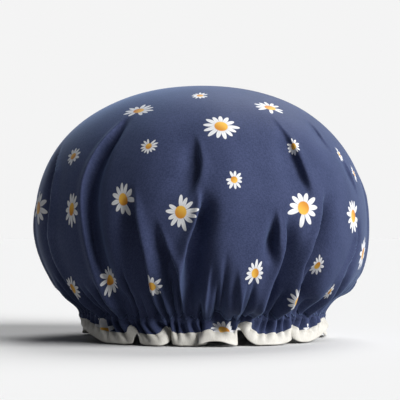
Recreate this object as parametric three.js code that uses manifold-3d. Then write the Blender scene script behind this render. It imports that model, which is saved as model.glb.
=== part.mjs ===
// A bouffant shower cap: a puffed satin cover over a waterproof lining, drawn in by an
// elastic band between the two, with a frilled edge below it in a folded binding.
// Millimetres, +Z up. The origin is on the ground under the crown, and -Y is the front.
import * as THREE from "three";
import { mergeVertices } from "three/addons/utils/BufferGeometryUtils.js";
import Module from "manifold-3d";

const wasm = await Module();
wasm.setup();

// Driving dimensions of the puffed body
const BODY_RADIUS = 120;
const CROWN_HEIGHT = 180;
const WIDEST_HEIGHT = 80;
const CROWN_FULLNESS = 2.3;
const SIDE_FULLNESS = 2.6;

// Driving dimensions of the mouth: the elastic band in its channel, at rest
const MOUTH_RADIUS = 84;
const ELASTIC_WIDTH = 6;
const ELASTIC_THICKNESS = 0.8;
const SEAM_MARGIN = 1.2;

// Driving dimensions of the frill and its binding
const FRILL_HEIGHT = 17;
const FRILL_FLARE = 2;
const FRILL_WAVE = 6;
const BINDING_HEIGHT = 8.5;
const BINDING_WALL = 0.7;

// Driving dimensions of the cloth, the lining film, the thread and the room between them
const COVER_WALL = 0.6;
const LINING_WALL = 0.5;
const THREAD_THICKNESS = 0.7;
const CLEARANCE = 0.3;

// Valleys between the frill's lobes, in degrees from the front towards +X
const LOBE_VALLEYS = [-75, -35, -10, 15, 45, 85, 115, 145, 170, 205, 230, 260];
const LOBE_ROUNDNESS = 0.6;

// Main folds of the puffed body, in order round the cap. The valley of each leaves the upper
// seam at its foot angle and leans over to its upper angle at LEAN_HEIGHT, in degrees from the
// front towards +X. It runs straight up from there and fades out at its top height.
const FOLDS = [
  { foot: -75, upper: -66, top: 135, depth: 10 },
  { foot: -45, upper: -42, top: 110, depth: 10 },
  { foot: -25, upper: -22, top: 110, depth: 9 },
  { foot: -15, upper: -13, top: 90, depth: 8 },
  { foot: -5, upper: 0, top: 115, depth: 12 },
  { foot: 10, upper: 11, top: 65, depth: 5 },
  { foot: 25, upper: 23, top: 100, depth: 8 },
  { foot: 35, upper: 29, top: 80, depth: 9 },
  { foot: 55, upper: 43, top: 110, depth: 10 },
  { foot: 80, upper: 61, top: 95, depth: 9 },
  { foot: 95, upper: 86, top: 120, depth: 8 },
  { foot: 110, upper: 104, top: 95, depth: 9 },
  { foot: 125, upper: 123, top: 140, depth: 10 },
  { foot: 135, upper: 135, top: 90, depth: 7 },
  { foot: 150, upper: 150, top: 125, depth: 10 },
  { foot: 160, upper: 159, top: 100, depth: 8 },
  { foot: 175, upper: 176, top: 145, depth: 11 },
  { foot: 185, upper: 186, top: 90, depth: 7 },
  { foot: 200, upper: 198, top: 120, depth: 10 },
  { foot: 215, upper: 215, top: 100, depth: 8 },
  { foot: 230, upper: 232, top: 135, depth: 10 },
  { foot: 245, upper: 248, top: 95, depth: 8 },
  { foot: 260, upper: 266, top: 125, depth: 9 },
  { foot: 270, upper: 279, top: 100, depth: 8 },
];
const LEAN_HEIGHT = 60;
const FOLD_HALF_ANGLE = 7;
const FOLD_FOOT_RISE = 20;
const FOLD_TOP_FADE = 35;

// The two halves of the mouth part at the front and the back when the elastic is stretched
const PARTING_GAP = 0.4;

// Fineness of the solids
const COLUMNS = 72;
const MERGE_DISTANCE = 1e-3;
const CROWN_STEPS = 6;
const SIDE_STEPS = 5;

// Heights and offsets that follow from the driving dimensions
const LOWER_SEAM_HEIGHT = FRILL_HEIGHT;
const CHANNEL_HEIGHT = ELASTIC_WIDTH + 2 * SEAM_MARGIN;
const UPPER_SEAM_HEIGHT = LOWER_SEAM_HEIGHT + CHANNEL_HEIGHT;
const ELASTIC_HEIGHT = LOWER_SEAM_HEIGHT + CHANNEL_HEIGHT / 2;
const CLOTH_EDGE_HEIGHT = BINDING_WALL + CLEARANCE;
const CHANNEL_OFFSET = ELASTIC_THICKNESS / 2 + CLEARANCE;
const EDGE_OFFSET = CLEARANCE / 2;
const BINDING_OUTER_OFFSET = EDGE_OFFSET + COVER_WALL + CLEARANCE;
const BINDING_INNER_OFFSET = EDGE_OFFSET + LINING_WALL + CLEARANCE;
const BINDING_ROW_HEIGHT = BINDING_HEIGHT - SEAM_MARGIN;

const SATIN = { color: 0x23264a, roughness: 0.55, metalness: 0 };
const FILM = { color: 0xe9e6df, roughness: 0.35, metalness: 0 };
const ELASTIC = { color: 0xf2f0ea, roughness: 0.8, metalness: 0 };
const BINDING = { color: 0xe9e4d6, roughness: 0.75, metalness: 0 };
const NAVY_THREAD = { color: 0x1b1d38, roughness: 0.6, metalness: 0 };
const CREAM_THREAD = { color: 0xdcd6c6, roughness: 0.6, metalness: 0 };

// The neighbours of an angle in a list of angles that goes round the cap, and its share of the
// way from the one to the other
function neighbours(angles, degrees) {
  const wrapped = angles[0] + THREE.MathUtils.euclideanModulo(degrees - angles[0], 360);
  const start = angles.findLastIndex((angle) => angle <= wrapped);
  const end = (start + 1) % angles.length;
  const width = THREE.MathUtils.euclideanModulo(angles[end] - angles[start], 360);
  return { start, end, share: (wrapped - angles[start]) / width };
}

// The wave round the frill: 1 on top of a lobe, -1 in the narrow valley beside it
function lobeWave(degrees) {
  const { share } = neighbours(LOBE_VALLEYS, degrees);
  return 2 * Math.sin(Math.PI * share) ** LOBE_ROUNDNESS - 1;
}

// How deep a fold is at an angle round the mouth and a height: it grows from the upper seam to its
// full depth, and fades out below its top
function foldDepth(fold, degrees, height) {
  const aside = Math.abs(THREE.MathUtils.euclideanModulo(degrees - fold.foot + 180, 360) - 180);
  const across = Math.cos((Math.PI / 2) * Math.min(aside / FOLD_HALF_ANGLE, 1)) ** 2;
  const risen = THREE.MathUtils.clamp((height - UPPER_SEAM_HEIGHT) / FOLD_FOOT_RISE, 0, 1);
  const left = THREE.MathUtils.clamp((fold.top - height) / FOLD_TOP_FADE, 0, 1);
  return fold.depth * across * risen * left;
}

// How far the cloth stands out or in at an angle round the mouth and a height: lobes that grow
// from the lower seam to the edge, and folds above the upper seam
function gather(degrees, height) {
  if (height < LOWER_SEAM_HEIGHT) {
    return FRILL_WAVE * lobeWave(degrees) * (1 - height / LOWER_SEAM_HEIGHT);
  }
  return -Math.max(...FOLDS.map((fold) => foldDepth(fold, degrees, height)));
}

// How far the cloth leans over with the folds beside it, in degrees
function lean(degrees, height) {
  const { start, end, share } = neighbours(FOLDS.map((fold) => fold.foot), degrees);
  const [first, last] = [FOLDS[start], FOLDS[end]].map((fold) => fold.upper - fold.foot);
  const climbed = (height - UPPER_SEAM_HEIGHT) / (LEAN_HEIGHT - UPPER_SEAM_HEIGHT);
  return THREE.MathUtils.lerp(first, last, share) * THREE.MathUtils.clamp(climbed, 0, 1);
}

// The body's outline from the top of the crown to the upper seam. Both stretches are
// superellipses, and the lower one is cut off where it meets the mouth.
function bodyOutline(offset) {
  const radius = BODY_RADIUS + offset;
  const mouth = MOUTH_RADIUS + offset;
  const crownRise = CROWN_HEIGHT + offset - WIDEST_HEIGHT;
  const drop = WIDEST_HEIGHT - UPPER_SEAM_HEIGHT;
  const cut = Math.acos((mouth / radius) ** (SIDE_FULLNESS / 2));
  const sideDrop = drop / Math.sin(cut) ** (2 / SIDE_FULLNESS);
  const outline = [];
  for (let step = 0; step <= CROWN_STEPS; step++) {
    const turn = (Math.PI / 2) * (step / CROWN_STEPS);
    const r = step === 0 ? 0 : radius * Math.sin(turn) ** (2 / CROWN_FULLNESS);
    const up = step === CROWN_STEPS ? 0 : Math.cos(turn) ** (2 / CROWN_FULLNESS);
    outline.push([r, WIDEST_HEIGHT + crownRise * up]);
  }
  for (let step = 1; step <= SIDE_STEPS; step++) {
    const turn = cut * (step / SIDE_STEPS);
    const r = radius * Math.cos(turn) ** (2 / SIDE_FULLNESS);
    outline.push([r, WIDEST_HEIGHT - sideDrop * Math.sin(turn) ** (2 / SIDE_FULLNESS)]);
  }
  return outline;
}

// A sheet's outline carried on through the channel and down the frill to its edge
function sheetOutline(offset, edgeOffset) {
  return [
    ...bodyOutline(offset),
    [MOUTH_RADIUS + offset, LOWER_SEAM_HEIGHT],
    [frillRadius(BINDING_HEIGHT) + edgeOffset, BINDING_HEIGHT],
    [frillRadius(CLOTH_EDGE_HEIGHT) + edgeOffset, CLOTH_EDGE_HEIGHT],
  ];
}

// The frill's mean radius, which flares from the lower seam down to the ground
function frillRadius(height) {
  return MOUTH_RADIUS + FRILL_FLARE * (1 - height / LOWER_SEAM_HEIGHT);
}

// Corners of a turned outline's triangles. Faces that lie against each other are split
// along the same diagonals, so that the folds keep them apart.
function splitCorners(outline) {
  const rows = outline.length;
  const corners = [];
  for (let column = 0; column < COLUMNS; column++) {
    for (let row = 0; row < rows - 1; row++) {
      const a = column * rows + row;
      const [b, c, d] = [a + rows, a + rows + 1, a + 1];
      const rises = outline[row + 1][1] > outline[row][1];
      corners.push(...(rises ? [a, b, d, c, d, b] : [a, b, c, a, c, d]));
    }
  }
  return corners;
}

// A closed outline turned about the cap's axis, then gathered and folded
function turned(outline) {
  const points = outline.map(([r, z]) => new THREE.Vector2(r, z));
  const geometry = new THREE.LatheGeometry(points, COLUMNS);
  geometry.setIndex(splitCorners(outline));
  geometry.rotateX(Math.PI / 2);
  const position = geometry.getAttribute("position");
  for (let i = 0; i < position.count; i++) {
    const [x, y, z] = [position.getX(i), position.getY(i), position.getZ(i)];
    const r = Math.hypot(x, y);
    const degrees = THREE.MathUtils.radToDeg(Math.atan2(x, -y));
    const gathered = r + gather(degrees, z);
    const angle = THREE.MathUtils.degToRad(degrees + lean(degrees, z));
    if (r > 0) {
      position.setXY(i, gathered * Math.sin(angle), -gathered * Math.cos(angle));
    }
  }
  return geometry;
}

// A geometry as a solid that can be cut
function solidOf(geometry) {
  geometry.deleteAttribute("normal");
  geometry.deleteAttribute("uv");
  const merged = mergeVertices(geometry, MERGE_DISTANCE);
  const corners = [...merged.index.array];
  const kept = [];
  for (let i = 0; i < corners.length; i += 3) {
    const [a, b, c] = corners.slice(i, i + 3);
    if (a !== b && b !== c && c !== a) {
      kept.push(a, b, c);
    }
  }
  return new wasm.Manifold(
    new wasm.Mesh({
      numProp: 3,
      vertProperties: new Float32Array(merged.getAttribute("position").array),
      triVerts: new Uint32Array(kept),
    }),
  );
}

// A solid as a geometry that can be drawn
function geometryOf(solid) {
  const mesh = solid.getMesh();
  const geometry = new THREE.BufferGeometry();
  geometry.setAttribute("position", new THREE.BufferAttribute(mesh.vertProperties, 3));
  geometry.setIndex(new THREE.BufferAttribute(mesh.triVerts, 1));
  geometry.computeVertexNormals();
  return geometry;
}

// The room that one half of the cap may take: side is -1 for the left and 1 for the right
function halfRoom(side) {
  const span = 4 * (BODY_RADIUS + CROWN_HEIGHT);
  const room = new THREE.BoxGeometry(span, span, span);
  return solidOf(room.translate((side * (span + PARTING_GAP)) / 2, 0, 0));
}

const HALVES = [
  ["left", halfRoom(-1)],
  ["right", halfRoom(1)],
];

// Two named meshes of one piece, cut where the halves of the mouth part
function halvesOf(name, outline, finish) {
  const whole = solidOf(turned(outline));
  return HALVES.map(([side, room]) => {
    const material = new THREE.MeshStandardMaterial(finish);
    const mesh = new THREE.Mesh(geometryOf(whole.intersect(room)), material);
    mesh.name = `${name}_${side}`;
    return mesh;
  });
}

// The satin cover, one sheet from the crown to the edge of the frill
function cover() {
  const inner = sheetOutline(CHANNEL_OFFSET, EDGE_OFFSET);
  const outer = sheetOutline(CHANNEL_OFFSET + COVER_WALL, EDGE_OFFSET + COVER_WALL);
  return halvesOf("cover", [...inner, ...outer.reverse()], SATIN);
}

// The waterproof lining, which lies inside the cover and ends in the same binding
function lining() {
  const inner = sheetOutline(-CHANNEL_OFFSET - LINING_WALL, -EDGE_OFFSET - LINING_WALL);
  const outer = sheetOutline(-CHANNEL_OFFSET, -EDGE_OFFSET);
  return halvesOf("lining", [...inner, ...outer.reverse()], FILM);
}

// The flat elastic band, in the channel between the cover and the lining
function elasticBand() {
  const inner = MOUTH_RADIUS - ELASTIC_THICKNESS / 2;
  const outer = MOUTH_RADIUS + ELASTIC_THICKNESS / 2;
  const low = ELASTIC_HEIGHT - ELASTIC_WIDTH / 2;
  const high = ELASTIC_HEIGHT + ELASTIC_WIDTH / 2;
  const section = [
    [inner, high],
    [inner, low],
    [outer, low],
    [outer, high],
    [inner, high],
  ];
  return halvesOf("elastic_band", section, ELASTIC);
}

// The binding, a tape folded round the edges of the cover and the lining
function edgeBinding() {
  const at = (offset, height) => [frillRadius(height) + offset, height];
  const outerFace = BINDING_OUTER_OFFSET + BINDING_WALL;
  const innerFace = -BINDING_INNER_OFFSET - BINDING_WALL;
  const section = [
    at(innerFace, BINDING_HEIGHT),
    at(innerFace, 0),
    at(outerFace, 0),
    at(outerFace, BINDING_ROW_HEIGHT),
    at(outerFace, BINDING_HEIGHT),
    at(BINDING_OUTER_OFFSET, BINDING_HEIGHT),
    at(BINDING_OUTER_OFFSET, BINDING_WALL),
    at(-BINDING_INNER_OFFSET, BINDING_WALL),
    at(-BINDING_INNER_OFFSET, BINDING_HEIGHT),
    at(innerFace, BINDING_HEIGHT),
  ];
  return halvesOf("edge_binding", section, BINDING);
}

// A row of thread round the cap, on a face whose radius is given at each height
function threadRow(name, faceRadius, height, finish) {
  const half = THREAD_THICKNESS / 2;
  const near = (z) => faceRadius(z) + CLEARANCE;
  const section = [
    [near(height + half), height + half],
    [near(height - half), height - half],
    [near(height) + THREAD_THICKNESS, height],
    [near(height + half), height + half],
  ];
  return halvesOf(name, section, finish);
}

// The rows that close the elastic's channel, and the row that holds the binding
function threads() {
  const channelFace = () => MOUTH_RADIUS + CHANNEL_OFFSET + COVER_WALL;
  const bindingFace = (z) => frillRadius(z) + BINDING_OUTER_OFFSET + BINDING_WALL;
  const upper = UPPER_SEAM_HEIGHT - THREAD_THICKNESS / 2;
  const lower = LOWER_SEAM_HEIGHT + THREAD_THICKNESS / 2;
  return [
    ...threadRow("upper_channel_thread", channelFace, upper, NAVY_THREAD),
    ...threadRow("lower_channel_thread", channelFace, lower, NAVY_THREAD),
    ...threadRow("binding_thread", bindingFace, BINDING_ROW_HEIGHT, CREAM_THREAD),
  ];
}

const cap = new THREE.Group();
cap.name = "shower_cap";
cap.add(...cover(), ...lining(), ...elasticBand(), ...edgeBinding(), ...threads());

export default cap;
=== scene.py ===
"""A bouffant shower cap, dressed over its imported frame: a printed satin cover, a film lining, an
elastic band, a bound frill and the stitching that holds them. Metres, +Z up, front towards -Y.
Turns are angles from the front towards +X, and runs are lengths along the cloth from the crown down."""
import math

import bmesh
import bpy
import numpy as np
from mathutils import Matrix, Vector


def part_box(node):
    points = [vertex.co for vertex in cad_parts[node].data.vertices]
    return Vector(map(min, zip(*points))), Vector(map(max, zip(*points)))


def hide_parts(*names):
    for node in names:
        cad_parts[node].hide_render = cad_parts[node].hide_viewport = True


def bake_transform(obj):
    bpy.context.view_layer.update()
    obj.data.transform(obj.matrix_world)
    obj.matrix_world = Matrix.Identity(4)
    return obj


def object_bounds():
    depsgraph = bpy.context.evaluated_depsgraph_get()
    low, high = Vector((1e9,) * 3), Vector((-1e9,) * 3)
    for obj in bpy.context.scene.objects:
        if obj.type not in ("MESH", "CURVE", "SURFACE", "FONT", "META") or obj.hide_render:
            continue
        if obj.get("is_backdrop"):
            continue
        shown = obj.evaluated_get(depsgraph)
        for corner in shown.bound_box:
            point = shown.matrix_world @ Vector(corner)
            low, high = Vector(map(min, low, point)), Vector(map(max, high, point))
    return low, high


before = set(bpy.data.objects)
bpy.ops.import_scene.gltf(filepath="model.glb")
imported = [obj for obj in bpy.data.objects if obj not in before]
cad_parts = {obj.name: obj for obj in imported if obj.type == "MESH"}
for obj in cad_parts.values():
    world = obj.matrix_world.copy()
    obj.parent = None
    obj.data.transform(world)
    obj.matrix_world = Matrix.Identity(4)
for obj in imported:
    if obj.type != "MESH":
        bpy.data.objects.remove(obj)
cad_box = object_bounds()

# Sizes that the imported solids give
CROWN_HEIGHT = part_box("cover_right")[1].z
BAND_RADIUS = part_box("elastic_band_right")[1].x
BAND_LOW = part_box("elastic_band_right")[0].z
BAND_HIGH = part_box("elastic_band_right")[1].z
THREAD_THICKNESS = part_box("upper_channel_thread_right")[1].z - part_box("upper_channel_thread_right")[0].z
UPPER_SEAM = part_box("upper_channel_thread_right")[1].z
LOWER_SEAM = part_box("lower_channel_thread_right")[0].z
BINDING_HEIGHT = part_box("edge_binding_right")[1].z

# The body's outline: its radius and widest height as in the solids, a little less full than there, and drawn
# in by FOLD_SWELL because its folds swell past it
BODY_RADIUS = 0.1200
FOLD_SWELL = 0.0012
WIDEST_HEIGHT = 0.080
CROWN_FULLNESS = 2.2
SIDE_FULLNESS = 2.4
OUTLINE_POINTS = 300
NORMAL_STEP = 0.002

# How the body droops over the neck, which the solids leave out. Over LEVEL_RUN its folds come to move level,
# and over HITCH_RUN its pleats come to be hitched up.
DROOP_HEIGHT = 0.0170
DROOP_STANDOFF = 0.0044
DROOP_CLEAR = 0.0005
LIMIT_SHARPNESS = 3
LEVEL_RUN = 0.020
HITCH = 0.0060
HITCH_RUN = 0.012

# The channel, where the cloth stands off the elastic at its middle and its seams
NECK_STANDOFF = 0.0004
SEAM_STANDOFF = 0.0010
BAND_THICKNESS = 0.0008
BAND_STEPS = 160
BAND_EDGE_POINTS = 5

# The lining: its gaps, how many columns it is smoothed over, the runs above the upper seam between which it
# is drawn in behind the elastic, and the run below the lower seam over which it comes out again
LINING_GAP = 0.0016
FRILL_LINING_GAP = 0.0005
CHANNEL_LINING_GAP = 0.0006
LINING_REACH = 10
LINING_DRAWN_IN = (0.012, 0.002)
LINING_LET_OUT = 0.010

# The frill, and the hem where the binding is folded round the edges of the cover and the lining
FRILL_FLARE = 1.40
HEM_RADIUS = 0.090
HEM_EDGE = 0.0014

# The binding: its standoff from the cloth and its room to the neck, the steps that its place on the frill is
# found by, and the turns in degrees round the hem's edge. Its section, from the top of a leg, gives shares
# of its height and of its standoff, and is drawn in along the row of stitches.
BINDING_STANDOFF = 0.0007
NECK_CLEAR = 0.0015
TAPE_SAMPLES = 41
TAPE_STEP = 0.04
TAPE_EDGE_TURNS = (25, 90, 155)
BINDING_SECTION = (
    (1.00, 0.15), (0.96, 0.75), (0.84, 0.80), (0.76, 0.62),
    (0.66, 0.95), (0.45, 1.10), (0.22, 1.05), (0.06, 0.95),
)
BINDING_STITCH_ROW = 3

# Stitches, sunk into the cloth by a share of their thickness
STITCH_LENGTH = 0.0026
STITCH_GAP = 0.0007
STITCH_SUNK = 0.3
STITCH_SIDES = 6
STITCH_RINGS = 5

# Small pleats that the elastic draws into the cloth at the neck, each at its full depth from the share
# PLEAT_FULL of its length above the droop
PLEAT_COUNT = 88
PLEAT_JITTER = 0.36
PLEAT_WIDTHS = (0.0011, 0.0026)
PLEAT_DEPTHS = (0.0050, 0.0130)
PLEAT_LENGTHS = (0.020, 0.062)
PLEAT_FULL = 0.2
PLEAT_SHARPNESS = 1.05
PLEAT_SWELL = 0.0010
SEAM_GATHER = 0.0032
FRILL_GATHER = 0.0180
FRILL_DRAWN_IN = 0.85

# Fineness of the cloth. Inside FULL_RADIUS the crown's rows share their columns.
COLUMNS = 720
BODY_ROWS = 86
CHANNEL_ROWS = 4
FRILL_ROWS = 14
LOWER_SEAM_ROW = BODY_ROWS + CHANNEL_ROWS
ROW_CROWDING = 0.25
FULL_RADIUS = 0.070
MOST_DOUBLINGS = 4
SEAM_MERGE = 1e-5
LEAST_STEP = 1e-6
LEAST_NORMAL = 1e-12

# Seeds of the random draws
FOLD_SEED = 4
HEM_SEED = 5
SCATTER_SEED = 6
BLOOM_SEED = 7
PLEAT_SEED = 8

# The photograph's frame and the camera that matches it, and the stretch of a ray that is searched for the
# cap, in body radii before and beyond its axis
FRAME_PIXELS = 400
FRAME_WIDTH = 0.2874
CAMERA_DISTANCE = 1.1
CAMERA_HEIGHT = 0.075
AIM = Vector((-0.0014, 0.0, 0.0988))
SENSOR_WIDTH = 36.0
RAY_BEFORE = 1.2
RAY_BEYOND = 0.2
RAY_POINTS = 4000

# Folds on the front: depth, half width, tuck, and the pixels of the photograph that the valley runs through,
# from the top down. The cloth overhangs the valley on its -turn side where the tuck is above 0, and on its
# +turn side where it is below.
FRONT_FOLDS = (
    (0.010, 0.008, -0.8, ((61, 148), (56, 172), (50, 205), (47, 236), (52, 260), (62, 280), (79, 305))),
    (0.0085, 0.0055, 0.95, (
        (127, 116), (112, 130), (100, 145), (91, 162), (85, 180), (83, 200), (84, 216), (88, 241),
        (95, 265), (104, 285), (118, 305),
    )),
    (0.012, 0.009, -0.7, ((127, 186), (130, 208), (133, 230), (137, 253), (140, 275), (146, 305))),
    (0.009, 0.006, -0.6, ((153, 221), (160, 239), (167, 257), (172, 275), (175, 292), (177, 306))),
    (0.006, 0.005, -0.5, ((153, 272), (156, 288), (161, 306))),
    (0.005, 0.008, -0.5, ((192, 134), (195, 148), (197, 162), (194, 176), (187, 190), (180, 203))),
    (0.015, 0.007, 0.9, (
        (203, 189), (204, 205), (199, 225), (193, 243), (190, 262), (188, 285), (187, 306),
    )),
    (0.005, 0.005, 0.3, ((214, 262), (212, 285), (209, 306))),
    (0.005, 0.005, -0.4, ((236, 268), (236, 288), (233, 306))),
    (0.005, 0.004, 0.6, ((248, 280), (244, 296), (241, 308))),
    (0.010, 0.005, -0.6, ((275, 210), (277, 228), (275, 246), (271, 270))),
    (0.013, 0.007, 0.7, (
        (289, 216), (290, 233), (288, 250), (284, 267), (278, 285), (271, 300), (267, 308),
    )),
    (0.005, 0.010, -0.5, ((280, 130), (291, 150), (298, 170), (304, 188), (309, 206))),
    (0.0012, 0.005, -0.4, ((270, 117), (284, 135), (296, 153))),
    (0.016, 0.008, 0.7, ((326, 195), (322, 218), (316, 241), (309, 265), (304, 288), (297, 307))),
    (0.007, 0.004, 0.6, ((324, 262), (317, 278), (311, 292), (306, 306))),
    (0.012, 0.006, 0.7, ((359, 220), (357, 243), (351, 261), (342, 279), (327, 303))),
    (0.0015, 0.006, -0.5, ((333, 150), (345, 163), (353, 180), (359, 200))),
    (0.0012, 0.007, -0.4, ((303, 116), (322, 141), (335, 158))),
)

# Folds on the sides and the back, placed as in the solids but for a small sway: turn of the valley at its
# foot and above LEAN_HEIGHT in degrees, height of its top, depth, half width and tuck
BACK_FOLDS = (
    (95, 86, 0.120, 0.008, 0.006, 0.7), (110, 104, 0.095, 0.009, 0.007, -0.7),
    (125, 123, 0.140, 0.010, 0.007, 0.7), (135, 135, 0.090, 0.007, 0.005, -0.6),
    (150, 150, 0.125, 0.010, 0.008, -0.7), (160, 159, 0.100, 0.008, 0.006, 0.6),
    (175, 176, 0.145, 0.011, 0.007, -0.8), (185, 186, 0.090, 0.007, 0.005, 0.6),
    (200, 198, 0.120, 0.010, 0.008, 0.7), (215, 215, 0.100, 0.008, 0.006, -0.7),
    (230, 232, 0.135, 0.010, 0.007, -0.7), (245, 248, 0.095, 0.008, 0.006, 0.6),
    (260, 266, 0.125, 0.009, 0.007, 0.7), (270, 279, 0.100, 0.008, 0.006, -0.6),
)
LEAN_HEIGHT = 0.060
BACK_FOLD_SWAY = 0.022
BACK_FOLD_KNOTS = 25

# How the folds begin, widen and end
FOLD_TOP_LEAD = 0.002
FOLD_TOP_FADE = 0.022
FOLD_FOOT_FADE = 0.022
FOLD_WIDENING = 0.060
FOLD_TIP_WIDTH = 0.5
FOLD_AT_NECK = 0.70
FOLD_NECK_FADE = 0.018

# How the cloth lies across a fold, in half widths from its valley: steep below the lip that overhangs it,
# with a long slope on the other side
STEEP_REACH = 0.48
SLOPE_REACH = 1.7
LIP_PLACE = -0.95
LIP_REACH = 0.55
LIP_RISE = 0.22
LIP_MOVE = 0.45
BOTTOM_REACH = 0.55
BOTTOM_MOVE = 0.85

# How far above the neck the overhangs begin to lie flat and have done so, and the share that is lost
TUCK_FADE = (0.062, 0.022)
TUCK_LOST = 0.85

# Where the cloth sags out over the neck at the front, and sinks in at the left shoulder and the sides: turn
# in degrees, height, how far out, and reach round in degrees and up
SAGS = (
    (12, 0.022, 0.0080, 46, 0.022), (-30, 0.112, -0.0040, 15, 0.055), (258, 0.040, -0.0080, 32, 0.026),
    (268, 0.019, -0.0070, 42, 0.008), (90, 0.022, -0.0050, 42, 0.013),
)

# A slight swell round the body: its height, its count round the cap, how far and how often its spacing
# shifts, and the runs between which it grows
SWELL_HEIGHT = 0.0009
SWELL_COUNT = 7
SWELL_SHIFT = 3
SWELL_SHIFT_COUNT = 2
SWELL_RUNS = (0.06, 0.12)

# The hem's route on the front: turn in degrees, radius, and lift of its edge off the floor
FRONT_HEM = (
    (-98, 0.078, 0.006), (-92, 0.081, 0.007), (-86, 0.0830, 0.0095), (-80, 0.0845, 0.0115),
    (-73, 0.0880, 0.0110), (-61, 0.091, 0.0069), (-53.5, 0.091, 0.0035), (-47.5, 0.091, 0.0006),
    (-39, 0.0905, 0.0), (-33.5, 0.0895, 0.0), (-31.3, 0.089, 0.0008), (-30.6, 0.0885, 0.0045),
    (-29.3, 0.088, 0.0072), (-28, 0.0885, 0.0045), (-27.2, 0.0895, 0.0010), (-24.4, 0.0905, 0.0),
    (-20.7, 0.0925, 0.0), (-16.9, 0.092, 0.0), (-15.2, 0.089, 0.0010), (-14.6, 0.082, 0.004),
    (-13.6, 0.074, 0.008), (-12.8, 0.082, 0.004), (-12.1, 0.089, 0.0005), (-10, 0.0905, 0.0),
    (-6.7, 0.0905, 0.0), (-2.1, 0.0890, 0.0), (1.2, 0.0880, 0.0005), (2.2, 0.0895, 0.001),
    (1.0, 0.0912, 0.001), (-1.5, 0.0918, 0.001), (-2.6, 0.0930, 0.001), (-1.4, 0.0945, 0.0012),
    (3, 0.0950, 0.003), (7.3, 0.0955, 0.003), (11.4, 0.0945, 0.001), (14.2, 0.092, 0.0),
    (15.2, 0.083, 0.004), (16, 0.075, 0.010), (16.9, 0.079, 0.013), (18.3, 0.085, 0.009),
    (20, 0.090, 0.003), (22.8, 0.092, 0.0003), (27.6, 0.093, 0.0), (34.7, 0.0925, 0.0),
    (40, 0.0915, 0.0015), (42, 0.0895, 0.0025), (42.8, 0.083, 0.005), (43.6, 0.080, 0.006),
    (44.6, 0.085, 0.004), (46.5, 0.0885, 0.0012), (51.5, 0.090, 0.0), (59.5, 0.091, 0.0018),
    (66, 0.091, 0.0042), (76.5, 0.0905, 0.010), (80, 0.086, 0.012), (84, 0.079, 0.012),
)
HEM_STEPS = 60

# The hem over the back, a guess: its lobes, the turns in degrees that they fill, the spread of their widths,
# the shares of a lobe at which its knots stand, the radius of its sides, and what the other radii and the
# lifts of its sides, its middle and the valleys between lobes are drawn from
BACK_LOBES = 7
BACK_HEM = (88, 258)
LOBE_WIDTHS = (0.8, 1.2)
LOBE_KNOTS = (0.10, 0.35, 0.65, 0.90)
LOBE_SIDE_RADIUS = 0.088
LOBE_SIDE_LIFTS = (0.001, 0.003)
LOBE_RADII = ((0.090, 0.093), (0.090, 0.094))
LOBE_LIFTS = (0.0, 0.001)
VALLEY_RADII = (0.076, 0.080)
VALLEY_LIFTS = (0.006, 0.011)

# Large and small daisies of the print on the front: the pixel of the photograph at their centres, and the
# shares of their width and height that the gathers leave
LARGE_ACROSS = 0.0265
SMALL_ACROSS = 0.0135
LARGE_DAISIES = (
    (138, 109, 0.95, 0.6), (221, 127, 1, 1), (39, 208, 1, 1), (70, 209, 0.5, 1), (119, 198, 0.65, 0.95),
    (180.5, 212, 0.86, 0.95), (270, 108, 1, 0.7), (303, 208, 1, 1), (354, 216, 0.8, 1), (364, 254, 0.8, 1),
    (74, 288, 0.38, 0.8), (105, 286, 0.42, 0.85), (153, 286, 0.50, 0.75), (294, 297, 0.45, 0.8),
    (223, 332, 0.7, 0.7), (101, 333, 0.8, 0.9),
)
SMALL_DAISIES = (
    (73, 156, 1.1, 1.1), (200, 95.5, 1, 1), (148, 145, 1, 1), (293.5, 146.5, 0.8, 1), (234, 180, 1, 1),
    (340, 154, 0.5, 1), (355, 173, 0.6, 1), (255, 273, 1.1, 1.4), (323, 268, 0.5, 1.3),
    (329, 291, 0.16, 1.1), (309, 330, 0.9, 1),
)

# Daisies scattered over the back: their count, the turns in degrees and the shares of the cloth that they
# fill, the share of large ones, their widths and the least distance between two
BACK_DAISIES = 34
BACK_DAISY_TURNS = (80, 280)
BACK_DAISY_SHARES = (0.01, 0.98)
BACK_LARGE_SHARE = 0.55
BACK_DAISY_WIDTHS = (0.75, 1.0)
DAISY_SPACING = 0.034

# How a daisy is drawn, in its half widths: how far round its middle its map reaches, the place that stands
# for none, its petals' count, roots, shortest tips, spread of tips, sway, fullness, edges and chance of a
# gap, the shading of petals by their veins and towards the middle, and the yolk's edge, its shaded side and
# its shading
DAISY_REACH = 1.3
NO_DAISY = 9.0
PETAL_COUNTS = (10, 14)
PETAL_ROOT = 0.22
PETAL_TIP = 0.74
PETAL_TIP_SPREAD = 0.26
PETAL_SWAY = 0.22
PETAL_FULLNESS = 1.45
PETAL_EDGE = (1.12, 0.88)
PETAL_GAP = (0.06, 0.07)
VEIN_SPAN = (0.0, 0.06)
VEIN_SHARE = 0.4
PETAL_SHADE = (0.25, 0.60)
YOLK_EDGE = (0.36, 0.31)
YOLK_SHADED_SIDE = (0.8, -0.9)
YOLK_SHADE = (-0.35, 0.40)

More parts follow.
